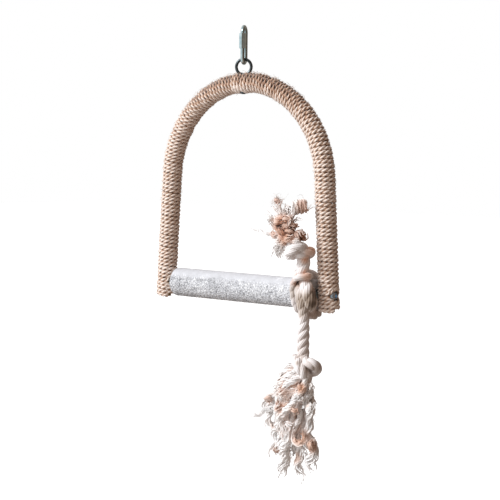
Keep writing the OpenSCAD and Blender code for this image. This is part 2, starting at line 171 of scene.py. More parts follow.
# Route from the frayed upper end through the upper knot, the hitch and the lower knot, mm
rope_route = (
    (84.0, -26.3, -208.0), (88.9, -26.8, -215.9), (93.8, -26.5, -220.5), (98.6, -22.6, -219.8),
    (99.0, -16.1, -219.2), (93.7, -12.2, -221.3), (87.5, -14.1, -220.9), (84.4, -20.0, -221.6),
    (83.9, -26.7, -222.1), (86.4, -32.6, -220.6), (91.5, -33.9, -216.8), (95.5, -29.5, -214.2),
    (95.5, -23.1, -215.6), (93.3, -19.7, -220.8), (93.2, -19.0, -227.4), (92.6, -18.8, -234.2),
    (92.4, -19.4, -240.8), (95.2, -20.8, -247.0), (99.4, -21.8, -253.6), (102.4, -22.2, -260.2),
    (103.0, -20.2, -267.0), (99.6, -15.4, -273.6), (95.2, -8.8, -279.2), (92.4, -1.6, -281.6),
    (91.2, 5.1, -281.2), (90.4, 10.9, -278.2), (90.0, 15.5, -273.4), (89.8, 18.5, -267.5),
    (89.4, 19.3, -260.8), (88.2, 17.6, -254.3), (86.4, 13.9, -248.8), (84.6, 8.6, -245.0),
    (82.8, 2.4, -243.2), (85.2, -4.2, -242.6), (92.0, -11.2, -242.2), (98.4, -18.8, -243.0),
    (99.4, -25.0, -242.8), (94.9, -28.2, -243.2), (90.2, -28.0, -245.4), (86.4, -25.5, -250.2),
    (83.9, -22.5, -255.8), (82.6, -20.0, -261.9), (81.8, -16.5, -268.1), (81.8, -11.5, -274.0),
    (82.0, -6.0, -278.2), (82.2, -0.4, -280.6), (82.0, 5.2, -280.4), (81.6, 10.6, -278.2),
    (81.2, 15.2, -274.0), (80.8, 18.4, -268.4), (80.0, 19.5, -261.8), (78.8, 18.2, -255.1),
    (78.0, 14.8, -249.3), (75.6, 9.5, -245.3), (74.4, 3.2, -243.2), (76.0, -3.4, -242.6),
    (80.2, -9.8, -243.8), (86.4, -15.4, -247.6), (90.8, -19.8, -253.6), (93.8, -21.8, -260.4),
    (95.4, -22.2, -267.6), (96.2, -21.8, -275.4), (96.4, -21.4, -283.7), (96.1, -21.3, -290.5),
    (96.0, -21.3, -297.3), (95.8, -21.3, -304.1), (95.8, -21.3, -310.9), (96.0, -21.2, -317.6),
    (97.0, -21.6, -323.1), (103.6, -25.5, -325.9), (110.0, -26.5, -325.6), (112.1, -23.5, -327.7),
    (109.7, -17.5, -331.8), (103.4, -12.5, -335.2), (95.6, -9.5, -336.5), (87.7, -8.5, -335.3),
    (82.6, -10.0, -331.5), (81.9, -14.0, -327.6), (86.4, -21.0, -324.7), (93.1, -27.5, -325.6),
    (99.2, -31.0, -329.2), (102.6, -30.5, -334.0), (101.9, -26.0, -337.9), (98.0, -18.5, -340.6),
    (93.5, -10.5, -342.7))


def smooth_line(points, step):
    """Catmull-Rom curve through the points, with points a step apart."""
    p = np.array(points, float)
    p = np.vstack([2 * p[0] - p[1], p, 2 * p[-1] - p[-2]])
    a, b, c, d = p[:-3], p[1:-2], p[2:-1], p[3:]
    t = np.linspace(0, 1, 16, endpoint=False)[None, :, None]
    a, b, c, d = (q[:, None] for q in (a, b, c, d))
    line = 0.5 * (2 * b + (c - a) * t + (2 * a - 5 * b + 4 * c - d) * t ** 2
                  + (3 * b - a - 3 * c + d) * t ** 3)
    line = np.vstack([line.reshape(-1, 3), p[-2]])
    along = np.r_[0, np.cumsum(np.linalg.norm(np.diff(line, axis=0), axis=1))]
    marks = np.linspace(0, along[-1], max(2, round(along[-1] / step)) + 1)
    return np.stack([np.interp(marks, along, line[:, k]) for k in range(3)], 1), marks


def cross_directions(line):
    """Two unit directions square to the line at each point, carried along it without twist."""
    run = np.gradient(line, axis=0)
    run /= np.linalg.norm(run, axis=1, keepdims=True)
    side = np.cross(run[0], (0.31, 0.2, 0.93))
    sides = []
    for direction in run:
        side = side - direction * (side @ direction)
        side = side / np.linalg.norm(side)
        sides.append(side)
    sides = np.array(sides)
    return sides, np.cross(run, sides)


def tube_mesh(name, lines, radii, sides=8, tilts=None, profile=None):
    """Mesh of round tubes, or of a profile swept along lines; all lengths are in mm."""
    curve = bpy.data.curves.new(name, "CURVE")
    curve.dimensions, curve.twist_mode, curve.use_fill_caps = "3D", "MINIMUM", True
    if profile is None:
        curve.bevel_depth, curve.bevel_resolution = 0.001, (sides - 4) // 2
    else:
        curve.bevel_mode, curve.bevel_object = "OBJECT", profile
    for i, (line, radius) in enumerate(zip(lines, radii)):
        spline = curve.splines.new("POLY")
        spline.points.add(len(line) - 1)
        spline.points.foreach_set("co", np.c_[line / 1000, np.ones(len(line))].ravel())
        spline.points.foreach_set("radius", np.broadcast_to(radius, len(line)).astype(float))
        if tilts is not None:
            spline.points.foreach_set("tilt", tilts[i])
    holder = bpy.data.objects.new(name, curve)
    bpy.context.collection.objects.link(holder)
    bpy.context.view_layer.update()
    mesh = bpy.data.meshes.new_from_object(
        holder.evaluated_get(bpy.context.evaluated_depsgraph_get()))
    bpy.data.objects.remove(holder)
    bpy.data.curves.remove(curve)
    mesh.name = name
    mesh.polygons.foreach_set("use_smooth", [True] * len(mesh.polygons))
    return mesh


def add_piece(name, mesh, material):
    """Object of a mesh in one material."""
    piece = bpy.data.objects.new(name, mesh)
    mesh.materials.clear()
    mesh.materials.append(material)
    bpy.context.collection.objects.link(piece)
    return piece


def points_of(mesh):
    """The mesh's points, in mm."""
    co = np.empty(len(mesh.vertices) * 3)
    mesh.vertices.foreach_get("co", co)
    return co.reshape(-1, 3) * 1000


def mark(mesh, name, values):
    """Attribute with one value for each point."""
    mesh.attributes.new(name, "FLOAT", "POINT").data.foreach_set(
        "value", np.asarray(values, np.float32))


def mark_depth(mesh, reach, shares=None):
    """Attribute from 0 deep in a bunch or a groove to 1 at its outside; the cotton's ramps paint
    shade from it, dark where it is deep. Crowded places count as deep; shares, one for each point,
    say how far out the point lies in its own rope."""
    co = points_of(mesh)
    cell = reach / 6
    place = ((co - co.min(0)) / cell).astype(int) + 8
    crowd = np.zeros(place.max(0) + 9)
    crowd[tuple(place.T)] = 1
    # the filled cells are blurred twice along each axis, which counts a cell's neighbours
    for axis in range(3):
        for _ in range(2):
            crowd = sum(np.roll(crowd, k, axis) for k in range(-3, 4)) / 7
    crowd = crowd[tuple(place.T)]
    least, most = np.percentile(crowd, (25, 99))
    depth = 1 - np.clip((crowd - least) / (most - least), 0, 1)
    if shares is not None:
        depth = np.clip(shares, 0, 1) * (0.45 + 0.55 * depth)
    mark(mesh, "depth", depth)


def mark_spots(mesh, name, spots):
    """Attribute that rises to 1 at the spots. Each spot is x, y, z, reach in mm and strength."""
    co = points_of(mesh)
    share = np.zeros(len(co))
    for *middle, reach, strength in spots:
        gap = np.linalg.norm(co - middle, axis=1) / reach
        share = np.maximum(share, strength * np.exp(-gap ** 4))
    mark(mesh, name, share)


# Soft spun cotton: matt and fibrous, cream where the light falls. Between the strands and where
# # yarns crowd it has painted shade, peach and brown, because light that sinks into cotton comes
# out warmer
def cotton_material(name, yarns, lean, light_steps, warm_steps, bump):
    """Cotton with yarn lines; the ramps run from deep painted shade to outside, plain and with
    painted warm shade.
    """
    cotton, shader = new_material(name)
    uv = add_node(cotton, "UVMap").outputs["UV"]
    parts = add_node(cotton, "SeparateXYZ", Vector=uv)
    depth, soiled, warmth = (
        add_node(cotton, "Attribute", {"attribute_name": mark_name}).outputs["Fac"]
        for mark_name in ("depth", "soiled", "warmth"))
    across = maths(cotton, "MULTIPLY", parts.outputs["Y"], yarns)
    slant = maths(cotton, "MULTIPLY_ADD", parts.outputs["X"], lean, across)
    ridge = maths(cotton, "SINE", maths(cotton, "MULTIPLY", slant, 2 * math.pi))
    place = add_node(cotton, "TexCoord").outputs["Object"]
    fuzz = add_node(cotton, "TexNoise", Vector=place, Scale=1400.0, Detail=3.0)  # 0.7 mm fibres
    patch = add_node(cotton, "TexNoise", Vector=place, Scale=90.0, Detail=2.0)  # 11 mm patches
    # deep places get painted shade, and large patches vary the tone
    shade = maths(cotton, "ADD", depth,
                  maths(cotton, "MULTIPLY_ADD", patch.outputs["Fac"], 0.5, -0.25))
    # the marked spots subtract painted shade from the tone
    shade = maths(cotton, "MULTIPLY_ADD", soiled, -1.0, shade)
    groove = maths(cotton, "MULTIPLY_ADD", ridge, 0.10, shade)
    # the warm ramp is mixed in as painted warm shade
    mix = add_node(cotton, "Mix", {"data_type": "RGBA"}, in0=warmth,
                   in6=colour_steps(cotton, groove, light_steps),
                   in7=colour_steps(cotton, groove, warm_steps))
    join(cotton, mix.outputs[2], shader, "Base Color")
    height = maths(cotton, "MULTIPLY_ADD", fuzz.outputs["Fac"], 1.2, ridge)
    relief = add_node(cotton, "Bump", Height=height, Strength=bump, Distance=0.0003)
    join(cotton, relief.outputs["Normal"], shader, "Normal")
    shader.inputs["Roughness"].default_value = 0.9
    shader.inputs["Specular IOR Level"].default_value = 0.2
    shader.inputs["Sheen Weight"].default_value = 0.35
    shader.inputs["Sheen Roughness"].default_value = 0.6
    return cotton


rope_line, rope_marks = smooth_line(rope_route, ROPE_STEP)


def mark_near(place):
    """Length along the rope at its point nearest to a place."""
    return rope_marks[np.argmin(np.linalg.norm(rope_line - place, axis=1))]


# Squeezed where it crosses itself, full where it hangs
hang_start, hang_end = mark_near((96.4, -21.4, -283.7)), mark_near((103.6, -25.5, -325.9))
straight = np.clip((rope_marks - hang_start) / ROPE_EASE, 0, 1) \
    * np.clip((hang_end - rope_marks) / ROPE_EASE, 0, 1)
rope_size = ROPE_SQUEEZED + (ROPE_D - ROPE_SQUEEZED) * straight
# Where it swells or is pulled thin: place, reach along the rope and change of thickness. It
# swells out of the upper knot and over the hitch, and is thin where it crosses and turns left.
for swell_place, swell_reach, swell in (
        ((93, -19, -231), 9, 2.6), ((94, -22, -263), 12, 3.0), ((102, -22, -261), 12, 3.6),
        ((99, -22, -243), 7, -1.6), ((94, -28, -243.4), 10, -3.6), ((84, -22.5, -256), 16, -3.0)):
    rope_size += swell * np.exp(-((rope_marks - mark_near(swell_place)) / swell_reach) ** 4)
# The strands stand out where the rope hangs and behind the perch, less so in the knots, and are
# pressed flat in front of the perch
BACK_Y, LOWER_KNOT_TOP, UPPER_KNOT_FOOT = -6, -300, -236  # mm
laid = np.maximum(straight, np.clip((rope_line[:, 1] - BACK_Y) / ROPE_EASE, 0, 1))
laid = np.maximum(laid, 0.6 * np.clip((LOWER_KNOT_TOP - rope_line[:, 2]) / ROPE_EASE, 0, 1))
laid = np.maximum(laid, 0.35 * np.clip((rope_line[:, 2] - UPPER_KNOT_FOOT) / ROPE_EASE, 0, 1))
# A strand's distance from the rope's middle and its radius, as shares of the rope's thickness
strand_centre, strand_size = 0.13 + 0.13 * laid, 0.385 - 0.11 * laid
one_side, other_side = cross_directions(rope_line)
strands = []
for k in range(3):
    turn = 2 * math.pi * (rope_marks / ROPE_LAY + k / 3)
    out = strand_centre * rope_size
    strands.append(rope_line + ((out * np.cos(turn))[:, None] * one_side
                                + (out * np.sin(turn))[:, None] * other_side))
rope_mesh = tube_mesh("cotton_rope", strands, [strand_size * rope_size] * 3, sides=14)
# How far out each point lies in the rope, so that the grooves between the strands are deep and get
# painted shade
heart = kdtree.KDTree(len(rope_line))
for k, point in enumerate(rope_line):
    heart.insert(point / 1000, k)
heart.balance()
out_share = [1000 * gap / rope_size[k] for _, k, gap in
             (heart.find(vert.co) for vert in rope_mesh.vertices)]
mark_depth(rope_mesh, 9, (np.array(out_share) - 0.2) / 0.27)
# Painted warm shade in the creases of the knots and over the hitch; painted shade, grey-brown,
# over the hitch, darkest on its right side, and on the lower knot
mark_spots(rope_mesh, "warmth", [
    (102, -18, -216, 6.5, 1.0), (104, -24, -219, 5, 0.8), (99.5, -24, -226, 5, 1.0),
    (101, -24, -241, 6, 1.0), (89, -24, -247, 6, 1.0), (86, -15, -247, 6, 1.0),
    (112, -19, -255, 7, 0.7), (102, -10, -278, 9, 0.3), (98, -26, -334, 5, 0.5),
    (104, -8, -330, 7, 0.5)])
# Painted shade, subtracted from the cotton's colour in these spots
mark_spots(rope_mesh, "soiled", [
    (89, -24, -247, 6, 0.6), (86, -15, -247, 6, 0.9), (110, -19, -252, 6, 1.0),
    (111, -22, -260, 8, 1.0), (110, -25, -268, 8, 1.0),
    (107, -26, -275, 8, 0.9), (102, -10, -278, 9, 0.5), (98, -29, -267, 12, 0.78),
    (105, -26, -264, 9, 0.85), (84, -24, -258, 11, 0.5), (97, -28, -276, 8, 0.65),
    (90, -14, -276, 10, 0.5), (98, -4, -284, 10, 0.4), (104, -12, -330, 6, 0.4),
    (96, -20, -312, 14, 0.3), (108.8, -30, -329.6, 6, 0.45),
    (113.9, -24, -328.8, 5, 0.7), (100.9, -33, -331.1, 3, 0.9), (99.1, -34, -325.9, 2.6, 0.8),
    (110.5, -26, -323.1, 4, 0.5)])
rope_cotton = cotton_material(
    "laid_cotton_rope", 12, 28.0,
    [(0.0, "#604c3c"), (0.2, "#a49180"), (0.42, "#cfc2b9"), (0.7, "#e2d8d4"), (1.0, "#f3edeb")],
    [(0.0, "#3a1e0c"), (0.3, "#7c4c2c"), (0.6, "#d59a79"), (1.0, "#f8cfb8")], 0.5)
cotton_rope = add_piece("cotton_rope", rope_mesh, rope_cotton)
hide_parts("rope_hitch", "rope_upper_end", "upper_knot", "rope_tail", "lower_knot")
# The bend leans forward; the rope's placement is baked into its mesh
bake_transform(cotton_rope)

# --- Frayed rope ends ---
# Beyond each knot the rope is unlaid into locks of crimped cotton yarn. They keep the curl of
# the lay, catch each other in knobs and coils, and end in brushed-out fibres.
rng = np.random.default_rng(7)
YARN_STEP = 2.2  # distance between the points of a yarn, mm
FIBRE_R = 0.17  # radius of a stray fibre, mm
LOCK_START, LOOSE_END, TIP = 8, 14, 7  # lengths in which a lock opens, comes loose and thins, mm


def lock(route, width, yarns, curl=1.2, curl_length=19.0, thick=0.9, twist=40.0, fan=1.6,
         fibres=0.8):
    """Yarns and stray fibres of one lock: they twist round its line, which keeps a corkscrew
    wave, and its end fans out. Fibres is the share of fine fibres added."""
    line, marks = smooth_line(route, YARN_STEP)
    one, two = cross_directions(line)
    share = marks / marks[-1]
    start = np.clip(marks / LOCK_START, 0, 1)
    phase = rng.uniform(0, 2 * math.pi)
    wave = 2 * math.pi * marks / (curl_length * rng.uniform(0.85, 1.15)) + phase
    line = line + (curl * start * np.cos(wave))[:, None] * one \
        + (curl * start * np.sin(wave))[:, None] * two
    swell = width / 2 * (0.7 + 0.3 * start) * (1 + (fan - 1) * np.clip((share - 0.55) / 0.45, 0, 1))
    made = ([], []), ([], [])
    for k in range(yarns + round(yarns * fibres)):
        fine = k >= yarns
        n = max(5, int(len(line) * (rng.uniform(0.3, 1) if fine else rng.uniform(0.78, 1))))
        angle = rng.uniform(0, 2 * math.pi) \
            + 2 * math.pi * marks[:n] / (twist * rng.uniform(0.8, 1.3))
        reach = swell[:n] * math.sqrt(rng.uniform(0.1, 1)) * (1.2 if fine else 1)
        path = line[:n] + (reach * np.cos(angle))[:, None] * one[:n] \
            + (reach * np.sin(angle))[:, None] * two[:n]
        for axis in range(3):
            for length, size in ((rng.uniform(5, 8), 0.34), (rng.uniform(10, 17), 0.62)):
                path[:, axis] += size * start[:n] * (1.8 if fine else 1) * \
                    np.sin(2 * math.pi * (marks[:n] / length + rng.uniform()))
        tail_share = np.clip((marks[:n] - marks[n - 1] + LOOSE_END) / LOOSE_END, 0, 1) ** 2
        path += np.outer(tail_share * (4.5 if fine else 1.6), rng.normal(size=3))
        made[fine][0].append(path)
        tip = np.clip((marks[n - 1] - marks[:n]) / TIP, 0.2, 1)
        radius = FIBRE_R if fine else thick * rng.uniform(0.75, 1.15)
        made[fine][1].append(radius * (0.4 + 0.6 * tip))
    return made


def frayed_end(name, locks, spots, soil):
    """The yarns of an unlaid rope end and, as a second piece, its stray fibres. The spots get
    painted warm shade and painted shade; the last argument says how dark that painted shade is."""
    made = [lock(**settings) for settings in locks]
    pieces = []
    for fine, suffix in enumerate(("_yarn", "_fibres")):
        lines = [line for one_lock in made for line in one_lock[fine][0]]
        radii = [radius for one_lock in made for radius in one_lock[fine][1]]
        mesh = tube_mesh(name + suffix, lines, radii, sides=4 if fine else 6)
        # crowded yarns get painted shade
        mark_depth(mesh, 8)
        # painted warm shade at the spots
        mark_spots(mesh, "warmth", spots)
        # and painted shade there, in a tighter reach
        mark_spots(mesh, "soiled", [(*spot[:3], spot[3] * 0.8, spot[4] * soil) for spot in spots])
        piece = add_piece(name + suffix, mesh, frayed_cotton)
        pieces.append(piece)
    return pieces


# Loose yarn is painted paler than the laid rope, for the light that gets through it, and brown
# # in the spots as painted warm shade
frayed_cotton = cotton_material(
    "frayed_cotton_yarn", 3, 60.0,
    [(0.0, "#c8906e"), (0.16, "#edc3a9"), (0.36, "#f8e3d7"), (0.62, "#faeee8"), (1.0, "#fffcfa")],
    [(0.0, "#5e2c10"), (0.25, "#9a5528"), (0.55, "#c17f50"), (1.0, "#dca47c")], 0.4)


def knob(middle, reach, lean):
    """Line of a lock that is curled up into a knob."""
    turn = np.linspace(0, 2.6 * math.pi, 12)
    across = Matrix.Rotation(lean, 3, "Z") @ Matrix.Rotation(lean * 1.7, 3, "X")
    ring = np.stack([np.cos(turn), 0.35 * np.sin(turn * 0.5), np.sin(turn)], 1) \
        * (reach * (0.55 + 0.45 * turn / turn[-1]))[:, None]
    return np.array(middle) + ring @ np.array(across).T


def spring(start, end, reach, turns):
    """Line of a lock that keeps the coils of the lay, like a spring."""
    start, end = np.array(start, float), np.array(end, float)
    share = np.linspace(0, 1, 8 * turns + 1)
    turn = 2 * math.pi * turns * share
    across = np.cross(end - start, (0, 0, 1))
    across /= np.linalg.norm(across)
    return start + share[:, None] * (end - start) + reach * (
        np.cos(turn)[:, None] * (0, 0, 1) + np.sin(turn)[:, None] * across)


def curled(x, y, z, reach, lean, width=4.4, yarns=12, thick=1.0, fibres=0.6, **others):
    """Settings of a lock that is curled up into a knob round a middle."""
    return {"route": knob((x, y, z), reach, lean), "width": width, "yarns": yarns, "curl": 0.3,
            "thick": thick, "fan": 1.0, "fibres": fibres, **others}


upper_tuft = frayed_end("upper_tuft", [
    dict(route=spring((83, -24, -177), (94, -15, -174), 5.2, 4), width=3.2, yarns=9, curl=0.1,
         thick=0.85, fan=1.0, fibres=0.8),
    curled(80.9, -30, -189.4, 3.6, 0.8, thick=0.9),
    curled(87.2, -27, -194.1, 3.2, 0.8, thick=0.9),
    curled(90.3, -26, -203.7, 3.6, 0.8, thick=0.9),
    curled(80.1, -30, -208.8, 3.4, 0.8, thick=0.9),
    curled(85.6, -31, -200.8, 3.6, 0.8, thick=0.9),
    curled(60, -30, -189.4, 3, 0.8, thick=0.9),
    curled(63, -23, -171, 2.6, 0.4, width=3.4, thick=0.7, fibres=3.0, curl=0.4, fan=1.6),
    dict(route=((78, -20, -184), (86, -19, -182), (96, -17, -178), (108, -13, -173)),
         width=1.0, yarns=2, curl=0.3, thick=0.4, fan=1.4, fibres=1.0),
    curled(76, -27, -194, 4.5, 0.6, width=4.6, yarns=14, fibres=0.4),
    curled(78, -29, -203, 4.2, -0.4, yarns=14, fibres=0.4),
    curled(93, -23, -204, 3.2, 0.2, width=4.2, fibres=0.2),
    curled(87, -29, -208, 3.6, 1.1, fibres=0.3),
    curled(69, -23, -198, 3.8, -1.0, width=4.2, fibres=0.8, fan=1.2),
    curled(83, -26, -197, 3.4, 1.9, width=4.2, fibres=0.3),
    curled(81, -31, -195, 2.8, 0.5, fibres=0.2),
    curled(70, -29, -192, 3.6, 0.9, fibres=0.5),
    curled(85, -31, -204, 4.0, -0.8, width=4.6, yarns=14, fibres=0.3),
    curled(74, -30, -201, 3.6, 0.2, width=4.6),
    dict(route=((84, -31, -204), (77, -31, -208), (72, -30, -215), (70, -29, -224)),
         width=7.5, yarns=22, thick=0.6, fan=1.5, fibres=3.0),
    curled(93, -30, -209, 3.4, 0.8, width=4.2, thick=0.9, fibres=0.4),
    dict(route=((94, -27, -210), (91, -28, -205), (85, -30, -202), (77, -30, -200),
                (69, -28, -199), (63, -26, -193), (68, -26, -187), (78, -28, -188),
                (85, -30, -193), (80, -29, -199)), width=5.5, yarns=20, thick=1.0, fan=1.1),
    dict(route=((90, -24, -212), (88, -26, -207), (91, -26, -201), (96, -24, -202),
                (95, -23, -207)), width=5, yarns=16, curl=0.4, thick=1.0, fan=1.0),
    dict(route=((86, -24, -205), (78, -24, -199), (73, -24, -191), (70, -24, -183),
                (65, -24, -176), (63, -23, -171)),
         width=5, yarns=22, curl=0.6, fan=1.3, fibres=2.0),
    dict(route=((85, -22, -206), (77, -21, -197), (77, -20, -188), (79, -20, -181),
                (81, -20, -178)), width=4.4, yarns=16, curl=0.5, fan=1.0, fibres=0.8),
    dict(route=((93, -30, -208), (86, -31, -205), (78, -30, -206), (70, -28, -210),
                (66, -26, -219), (66, -24, -228)), width=4.8, yarns=18, fan=2.2, fibres=1.2),
    dict(route=((83, -25, -203), (75, -24, -202), (66, -23, -203), (56, -22, -205),
                (49, -21, -203)), width=4.5, yarns=14, fan=1.6, fibres=1.0),
    dict(route=((66, -23, -203), (49, -21, -203), (40, -20, -201), (25, -18, -198)),
         width=2.4, yarns=6, curl=0.5, thick=0.5, fan=1.3, fibres=1.6),
    dict(route=((74, -19, -197), (68, -18, -191), (57, -17, -187), (46, -16, -184),
                (41, -16, -183)), width=3.4, yarns=8, thick=0.5, fan=2.4, fibres=2.0),
    dict(route=((76, -19, -195), (79, -18, -190), (86, -17, -188), (93, -16, -190)),
         width=2.6, yarns=4, thick=0.4, fan=2.4, fibres=2.0),
    dict(route=((80, -20, -202), (72, -20, -195), (67, -18, -186), (71, -18, -178),
                (79, -18, -181)), width=4.6, yarns=16, fibres=0.8)],
    # Painted warm shade and painted shade in the knobs and the middle of the tuft
    [(74, -26, -195, 12, 1.0), (82, -28, -203, 12, 1.0), (94, -24, -205, 7, 0.9),
     (93, -20, -176, 9, 0.6), (60, -22, -204, 6, 0.6), (63, -22, -172, 8, 0.5),
     (80.9, -30, -189.4, 6, 0.9), (87.2, -27, -194.1, 6, 0.9), (90.3, -26, -203.7, 6, 0.9),
     (80.1, -30, -208.8, 6, 0.9), (85.6, -31, -200.8, 6, 0.9)], soil=0.75)
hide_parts("upper_tuft")
for piece in upper_tuft:
    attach(piece, "swing")

# The locks that hang between the others in the tassel
HIDDEN_LOCKS = 12
hidden_locks = []
for _ in range(HIDDEN_LOCKS):
    top = np.array((rng.uniform(84, 100), rng.uniform(-28, -4), -343))
    low = np.array((rng.uniform(56, 102), rng.uniform(-26, -4), rng.uniform(-432, -398)))
    bends = [top + (low - top) * share + rng.normal(size=3) * (3, 2, 2)
             + (-9 * math.sin(math.pi * share), -3, 0) for share in (0.25, 0.5, 0.75)]
    hidden_locks.append(dict(route=[top, *bends, low], width=rng.uniform(3.4, 5), yarns=11,
                             curl=rng.uniform(0.6, 1.6), thick=0.8, fan=1.7, fibres=1.6))
tassel_knobs = [
    curled(*place, width=3.8, yarns=11, thick=0.9, fan=1.1, fibres=1.2) for place in (
        (57, -26, -367, 3.2, 0.5), (73, -29, -373, 3.4, -0.7), (101, -30, -350, 3.0, 1.2),
        (98, -32, -359, 2.8, 0.3), (110, -28, -368, 3.6, -0.3), (94, -30, -373, 3.0, 0.9),
        (110, -26, -348, 2.2, 0.1), (62, -16, -419, 3.0, 0.6), (108, -22, -407, 3.6, 1.5),
        (90, -31, -387, 3.0, -1.1))]
lower_tassel = frayed_end("lower_tassel", hidden_locks + tassel_knobs + [
    dict(route=((101, -26, -337), (93, -30, -342), (83, -30, -350), (77, -28, -360),
                (80, -26, -368)), width=7, yarns=30, curl=0.6, fan=1.2, fibres=1.0),
    dict(route=((103, -20, -337), (98, -24, -348), (92, -26, -356), (93, -24, -366)),
         width=6, yarns=24, curl=1.0, curl_length=12, fan=1.4, fibres=1.0),
    dict(route=((97, -28, -330), (87, -30, -340), (77, -28, -346), (71, -26, -356),
                (60, -22, -361)), width=7, yarns=28, curl=0.8, fan=1.3, fibres=1.0),
    dict(route=((92, -26, -324), (82, -27, -333), (73, -26, -346), (68, -24, -359),
                (74, -24, -368), (82, -22, -376)),
         width=8, yarns=40, curl=0.8, fan=1.2, fibres=0.8),
    dict(route=((105, -28, -340), (103, -30, -350), (95, -30, -361), (85, -30, -372),
                (75, -28, -383), (73, -26, -394), (79, -26, -403)),
         width=5, yarns=20, curl=0.5, twist=22, fan=1.3),
    dict(route=((75, -20, -350), (62, -20, -360), (50, -18, -367), (46, -16, -375),
                (52, -16, -379), (61, -18, -372), (65, -20, -366)),
         width=5, yarns=18, curl=0.7, fan=1.3),
    dict(route=((75, -14, -347), (64, -15, -358), (52, -15, -372), (48, -14, -386),
                (52, -14, -397), (60, -16, -406)), width=5.5, yarns=22, fan=1.3, fibres=0.8),
    dict(route=((95, -24, -346), (86, -25, -356), (77, -26, -369), (75, -27, -381),
                (78, -27, -393), (81, -25, -403), (76, -22, -418), (72, -20, -433),
                (72, -19, -445)),
         width=7.5, yarns=38, curl=1.5, curl_length=26, fan=1.7, fibres=1.2),
    dict(route=((90, -20, -350), (86, -18, -363), (91, -18, -376), (88, -20, -390),
                (86, -24, -401), (95, -26, -406), (102, -24, -400), (94, -20, -394)),
         width=4.8, yarns=18, curl=0.8, fan=1.1, fibres=0.3),
    dict(route=((99, -16, -342), (100, -16, -356), (99, -18, -366), (104, -18, -375),
                (102, -18, -387), (100, -16, -399), (107, -16, -410), (105, -16, -422),
                (99, -16, -433)), width=6, yarns=26, fan=1.5, fibres=1.0),
    dict(route=((88, -10, -348), (94, -8, -359), (97, -8, -369), (92, -10, -379),
                (90, -12, -391), (96, -14, -404), (105, -14, -415), (100, -14, -431)),
         width=6, yarns=26, fan=1.5, fibres=0.8),
    dict(route=((63, -8, -374), (57, -9, -390), (55, -10, -408), (57, -10, -417),
                (61, -10, -426)), width=4.2, yarns=14, fan=1.8),
    dict(route=((82, -10, -362), (79, -12, -387), (82, -12, -402), (87, -14, -415),
                (86, -14, -427), (90, -14, -440)), width=5.5, yarns=24, fan=1.7, fibres=1.0),
    dict(route=((82, -4, -348), (70, -4, -364), (67, -6, -379), (74, -8, -393),
                (80, -8, -407), (77, -10, -426)), width=7, yarns=30, fan=1.5, fibres=0.8),
    dict(route=((64, -18, -366), (54, -18, -375), (43, -17, -383), (32, -16, -388),
                (20, -15, -390)), width=3, yarns=5, thick=0.35, fan=2.2, fibres=3.0),
    dict(route=((96, -16, -416), (101, -16, -427), (106, -15, -434), (112, -14, -437)),
         width=3, yarns=4, thick=0.35, fan=2, fibres=2.0),
    dict(route=((86, -14, -415), (89, -14, -430), (93, -14, -442), (92, -13, -455)),
         width=2, yarns=3, thick=0.3, fan=1.5, fibres=2.0)],
    # Painted warm shade and painted shade in the knobs and between the locks
    [(57, -26, -367, 6, 0.6), (73, -29, -373, 6, 0.75), (102, -31, -350, 6, 0.9),
     (95, -31, -373, 6, 0.7), (62, -16, -419, 7, 0.6), (108, -22, -407, 8, 0.8),
     (90, -31, -387, 5, 0.4), (105, -30, -365, 5, 0.4), (80, -30, -356, 6, 0.5),
     (97, -27, -399, 9, 0.8), (86, -17, -423, 6, 0.5), (97, -17, -433, 5, 0.4),
     (58, -18, -394, 6, 0.4), (106, -24, -347, 5, 0.4)], soil=0.36)
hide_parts("lower_tassel")
for piece in lower_tassel:
    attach(piece, "tail")

# --- Quick link and its sleeve ---
# A 4 mm wire link of zinc-plated steel, bent to an oval with a gap in one side, and the hexagon
# sleeve that screws over the gap. Both are tumbled and plated, so they are satin, not bright.


def plated_steel(name, base, worn, roughness):
    """Plated steel with faint clouds of two tones and a fine grain."""
    steel, shader = new_material(name)
    place = add_node(steel, "TexCoord").outputs["Object"]
    cloud = add_node(steel, "TexNoise", Vector=place, Scale=260.0, Detail=4.0)  # 4 mm clouds
    grain = add_node(steel, "TexNoise", Vector=place, Scale=3000.0, Detail=2.0)  # 0.3 mm grain
    join(steel, colour_steps(steel, cloud.outputs["Fac"], [(0.35, base), (0.65, worn)]), shader,
         "Base Color")
    dull = maths(steel, "MULTIPLY_ADD", cloud.outputs["Fac"], 0.2, roughness - 0.1)
    join(steel, dull, shader, "Roughness")
    relief = add_node(steel, "Bump", Height=grain.outputs["Fac"], Strength=0.2, Distance=0.0001)
    join(steel, relief.outputs["Normal"], shader, "Normal")
    shader.inputs["Metallic"].default_value = 1
    return steel


def finish_node(node, material):
    """Give a piece that keeps its own shape its material."""
    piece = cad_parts[node]
    for slot in piece.material_slots:
        slot.material = material


zinc_steel = plated_steel("zinc_plated_steel", "#a9c1c6", "#cbdee2", 0.2)
for node in ("quick_link", "link_sleeve"):
    finish_node(node, zinc_steel)

# --- Eye bolt, washer and lock nut ---
# Bent steel wire with an M4 thread, blackened and dull; it goes down through the crown and is
# held by a washer and a lock nut inside the arch.
dark_steel = plated_steel("dull_dark_steel", "#383e40", "#5a6264", 0.32)
for node in ("eye_bolt", "crown_washer", "crown_lock_nut"):
    finish_node(node, dark_steel)

# --- Bent cane ---
# The arch's core is one length of round rattan cane, steamed and bent. It shows only at the feet,
# where its sawn ends lie just inside the twine.
cane, cane_shader = new_material("sawn_rattan_cane")
cane_place = add_node(cane, "TexCoord").outputs["Object"]
cane_grain = add_node(cane, "TexNoise", Vector=cane_place, Scale=900.0, Detail=4.0)  # 1 mm pores
join(cane, colour_steps(cane, cane_grain.outputs["Fac"], [(0.35, "#8a6a45"), (0.6, "#c9a877")]),
     cane_shader, "Base Color")
cane_shader.inputs["Roughness"].default_value = 0.75
finish_node("arch_cane", cane)

